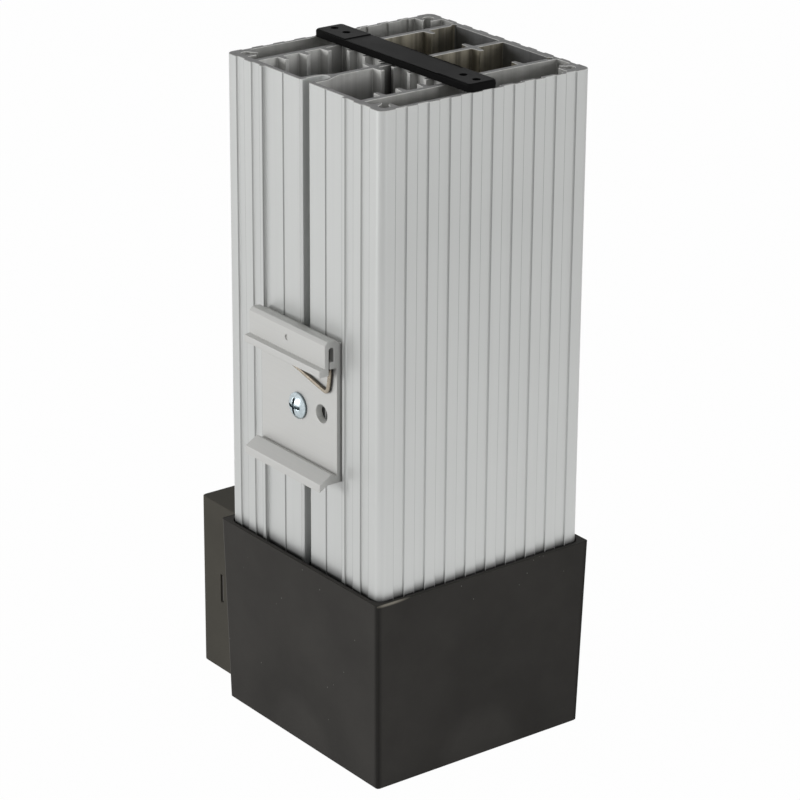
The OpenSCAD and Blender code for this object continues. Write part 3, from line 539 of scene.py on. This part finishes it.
def even_shading(piece, sharp=50.0):
    """Smooth shading that keeps flat faces flat and creases above an angle."""
    mesh = piece.data
    work = bmesh.new()
    work.from_mesh(mesh)
    for edge in work.edges:
        edge.smooth = len(edge.link_faces) == 2 and edge.calc_face_angle(0.0) < math.radians(sharp)
    for face in work.faces:
        face.smooth = True
    work.to_mesh(mesh)
    work.free()
    weighted = piece.modifiers.new("even_shading", "WEIGHTED_NORMAL")
    weighted.keep_sharp = True


def solid_copy(node):
    """The node's solid with shared corners, and flat faces in one piece where they can be."""
    work = bmesh.new()
    work.from_mesh(NODES[node].data)
    bmesh.ops.remove_doubles(work, verts=work.verts, dist=1e-6)
    bmesh.ops.dissolve_limit(work, angle_limit=math.radians(0.4), verts=work.verts, edges=work.edges)
    return work


def softened(node, name, finish, width, angle=38.0, segments=3, lowest=None, reshape=None):
    """A copy of a solid with its sharp edges rounded, or only those above a height."""
    work = solid_copy(node)
    if reshape:
        reshape(work)
    edges = [e for e in work.edges
             if len(e.link_faces) == 2 and e.calc_face_angle(0.0) > math.radians(angle)
             and (lowest is None or min(v.co.z for v in e.verts) > lowest)]
    bmesh.ops.bevel(work, geom=edges, offset=width, offset_type="OFFSET", segments=segments, profile=0.5,
                    affect="EDGES", clamp_overlap=False, loop_slide=True)
    mesh = bpy.data.meshes.new(name)
    work.to_mesh(mesh)
    work.free()
    piece = link(name, mesh, [finish])
    even_shading(piece)
    return stand_for(piece, node)


# Base

BASE_EDGE_R = 2 * MM
BASE_FOOT = 0.8 * MM
SHARP_EDGE_R = 1 * MM
SHARP_FOOT = 0.35 * MM


def sharper_base(work):
    """Gives the base's upright edges and its foot the small radii of the moulding."""
    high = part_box("base_housing")[1]
    for vert in work.verts:
        at = vert.co
        side = high.y - BASE_TAPER * (1.0 - max(at.z, BASE_FOOT) / high.z)
        bevelled = at.z < BASE_FOOT / 2
        centre = side - BASE_EDGE_R - (BASE_FOOT if bevelled else 0.0)
        out = Vector((abs(at.x) - centre, abs(at.y) - centre))
        if min(out) < -0.02 * MM or abs(out.length - BASE_EDGE_R) > 0.05 * MM:
            continue
        centre = side - SHARP_EDGE_R - (SHARP_FOOT if bevelled else 0.0)
        at.x = math.copysign(centre + out.x * SHARP_EDGE_R / BASE_EDGE_R, at.x)
        at.y = math.copysign(centre + out.y * SHARP_EDGE_R / BASE_EDGE_R, at.y)
        if not bevelled and at.z < 2 * BASE_FOOT:
            at.z = SHARP_FOOT


# Profile

STRAIGHT = math.radians(0.3)
CORNER_TURN = math.radians(25)
CORNER_R = 0.3 * MM
CORNER_STEPS = 4
END_BEVEL = 0.12 * MM
BACK_REACH = 20 * MM
REAR_FROM = 30 * MM
PROFILE_R = 4 * MM
TIGHT_R = 2.5 * MM
CHANNEL_REACH = 3 * MM
CHANNEL_MOUTH = 1.52 * MM
CHANNEL_SEAT = 1.5 * MM
CHANNEL_HALF = 2.25 * MM
CHANNEL_BEVEL = 0.65 * MM
CHANNEL_LIPS = {-1: 0.62 * MM, 1: 0.22 * MM}
LIP_FIND = 0.1 * MM
LIP_DEPTH = 2.4 * MM


def top_loops(node):
    """Closed outlines of the flat top of a node, as lists of points in the plane."""
    work = bmesh.new()
    work.from_mesh(NODES[node].data)
    bmesh.ops.remove_doubles(work, verts=work.verts, dist=1e-6)
    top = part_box(node)[1].z
    flat = {f for f in work.faces if all(abs(v.co.z - top) < 1e-6 for v in f.verts)}
    following = {}
    for face in flat:
        for corner in face.loops:
            if sum(f in flat for f in corner.edge.link_faces) == 1:
                following[corner.vert] = corner.link_loop_next.vert
    loops = []
    while following:
        vert = next(iter(following))
        loop = []
        while vert in following:
            loop.append(vert.co.to_2d())
            vert = following.pop(vert)
        loops.append(loop)
    work.free()
    return loops


def turn(before, here, after):
    return (here - before).angle_signed(after - here, 0.0)


def without_straight(loop):
    """The outline without the points that lie on a straight side."""
    n = len(loop)
    bends = [abs(turn(loop[i - 1], p, loop[(i + 1) % n])) for i, p in enumerate(loop)]
    return [p for p, bend in zip(loop, bends) if bend > STRAIGHT]


def filleted(loop):
    """The outline with its sharp corners rounded as far as the sides allow.

    The second list tells of each point whether the side that ends there rounds an outward corner."""
    out, rounding = [], []
    n = len(loop)
    for i, p in enumerate(loop):
        a, b = loop[i - 1], loop[(i + 1) % n]
        bend = turn(a, p, b)
        if abs(bend) < CORNER_TURN:
            out.append(p)
            rounding.append(False)
            continue
        into, away = (p - a), (b - p)
        cut = min(CORNER_R * math.tan(abs(bend) / 2), 0.4 * into.length, 0.4 * away.length)
        start, end = p - into.normalized() * cut, p + away.normalized() * cut
        for k in range(CORNER_STEPS + 1):
            t = k / CORNER_STEPS
            out.append(start.lerp(p, t).lerp(p.lerp(end, t), t))
            rounding.append(k > 0 and bend < 0)
    return out, rounding


def inset(loop, amount):
    """The outline moved towards its left, which is the metal's side.

    Sides too short for it shrink to points."""
    out = []
    n = len(loop)
    for i, p in enumerate(loop):
        into = (p - loop[i - 1]).normalized()
        away = (loop[(i + 1) % n] - p).normalized()
        side = Vector((-into.y - away.y, into.x + away.x))
        out.append(p + side * (amount / (1.0 + into.dot(away))))
    for i in range(n):
        if (out[i] - out[i - 1]).dot(loop[i] - loop[i - 1]) < 0:
            out[i] = out[i - 1] = out[i].lerp(out[i - 1], 0.5)
    return out


def trued(loop, half):
    """The outer outline with its faces a little further in and with tighter corners."""
    centre = half - PROFILE_R
    out = []
    for p in loop:
        at = [abs(p.x), abs(p.y)]
        if min(at) > centre - 0.01 * MM:
            at = [half - FACE_IN - TIGHT_R + (a - centre) * TIGHT_R / PROFILE_R for a in at]
        else:
            at = [a - FACE_IN if a > half - 0.8 * MM else a for a in at]
        out.append(Vector((math.copysign(at[0], p.x), math.copysign(at[1], p.y))))
    return out


def lipped(loop, front):
    """The outline with two lips at the mouth of the screw channel, which the screw's thread bites into."""
    seat = front + CHANNEL_SEAT
    out = []
    for p in loop:
        hand = -1 if p.x < 0 else 1
        tight = CHANNEL_HALF - CHANNEL_LIPS[hand]
        if (p - Vector((hand * (CHANNEL_HALF + CHANNEL_BEVEL), seat))).length < LIP_FIND:
            out.append(Vector((hand * (tight + CHANNEL_BEVEL), seat)))
        elif (p - Vector((hand * CHANNEL_HALF, seat + CHANNEL_BEVEL))).length < LIP_FIND:
            lip = [(tight, CHANNEL_BEVEL), (tight, LIP_DEPTH), (CHANNEL_HALF, LIP_DEPTH)]
            points = [Vector((hand * x, seat + y)) for x, y in lip]
            out.extend(points if hand < 0 else reversed(points))
        else:
            out.append(p)
    return out


def area(loop):
    return sum(a.cross(b) for a, b in zip(loop, loop[1:] + loop[:1])) / 2


def extruded_profile():
    """The profile with rounded flute and fin edges, broken end edges and sawn ends."""
    node = "heatsink_profile"
    low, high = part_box(node)
    finishes = ["profile", "profile_rounding", "profile_inside", "profile_front", "profile_back",
                "profile_rear", "profile_channel", "profile_cut", "profile_edge"]
    outside, rounded, inside, front, back, rear, channel, sawn, edge = range(9)
    loops = [without_straight(loop) for loop in top_loops(node)]
    outer = max(loops, key=area)
    work = bmesh.new()
    for corners in loops:
        loop, rounding = filleted(lipped(trued(corners, high.x), low.y) if corners is outer else corners)
        small = inset(loop, END_BEVEL)
        levels = ((low.z, small), (low.z + END_BEVEL, loop), (high.z - END_BEVEL, loop), (high.z, small))
        rings = [[work.verts.new((p.x, p.y, z)) for p in points] for z, points in levels]
        middle = sum(loop, Vector((0, 0))) / len(loop)
        chamber = back if middle.y > 0 else front
        wall = outside if corners is outer else chamber if abs(middle.x) < BACK_REACH else inside
        for below, above, ends in zip(rings, rings[1:], (True, False, True)):
            for i in range(len(loop)):
                face = work.faces.new((below[i - 1], below[i], above[i], above[i - 1]))
                at, way = (loop[i - 1] + loop[i]) / 2, loop[i] - loop[i - 1]
                deep = abs(at.x) < CHANNEL_REACH and low.y + CHANNEL_MOUTH < at.y < 0
                plain = channel if deep else rounded if rounding[i] else outside
                across = at.y > REAR_FROM and abs(way.x) > abs(way.y)
                hollow = rear if wall == back and across else wall
                face.material_index = edge if ends else plain if wall == outside else hollow
    bmesh.ops.remove_doubles(work, verts=work.verts, dist=1e-8)
    for z in (low.z, high.z):
        rim = [e for e in work.edges
               if len(e.link_faces) == 1 and all(abs(v.co.z - z) < 1e-7 for v in e.verts)]
        for face in bmesh.ops.triangle_fill(work, edges=rim, use_beauty=True)["geom"]:
            if isinstance(face, bmesh.types.BMFace):
                face.material_index = sawn
    bmesh.ops.recalc_face_normals(work, faces=work.faces)
    mesh = bpy.data.meshes.new("extruded_profile")
    work.to_mesh(mesh)
    work.free()
    piece = link("extruded_profile", mesh, finishes)
    even_shading(piece, 40.0)
    return stand_for(piece, node)


PLAIN_FINISHES = {
    "heater_cassette_left": "cassette", "heater_cassette_right": "cassette", "clamp_plates": "spring",
    "temperature_limiter": "limiter", "terminal_block": "terminal", "terminal_screws": "zinc",
    "profile_screws": "zinc", "fan_frame": "fan", "fan_impeller": "fan", "fan_shaft": "steel",
    "shaft_clip": "spring", "rotor_yoke": "steel", "rotor_magnet": "magnet", "fan_bearings": "steel",
    "stator_core": "steel", "stator_coils": "copper", "fan_circuit_board": "board", "fan_screws": "zinc",
    "heater_leads": "white", "fan_lead": "sheath", "earth_lead": "earth", "earth_lug": "tinned",
    "earth_screw": "zinc",
}


def dress_solids():
    """The solids that stay as they are get their finish."""
    for node, finish in PLAIN_FINISHES.items():
        slots = NODES[node].data.materials
        slots.clear()
        slots.append(MATERIALS[finish].material)


make_camera()
make_lamps()
make_world()
make_floor()
dress_solids()
extruded_profile()
softened("base_housing", "moulded_base", "base", 0.35 * MM, lowest=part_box("base_housing")[1].z - 1 * MM,
         reshape=sharper_base)
softened("terminal_cover", "moulded_terminal_cover", "cover", 0.4 * MM)
softened("top_bar", "moulded_bar", "black", 0.15 * MM)
softened("din_clip", "extruded_clip", "clip", 0.2 * MM)
softened("clip_screw", "pan_head_screw", "clip_screw", 0.12 * MM)
softened("clip_spring", "bent_spring_wire", "spring", 0.1 * MM, 80.0)

bpy.context.scene.view_settings.view_transform = "Standard"
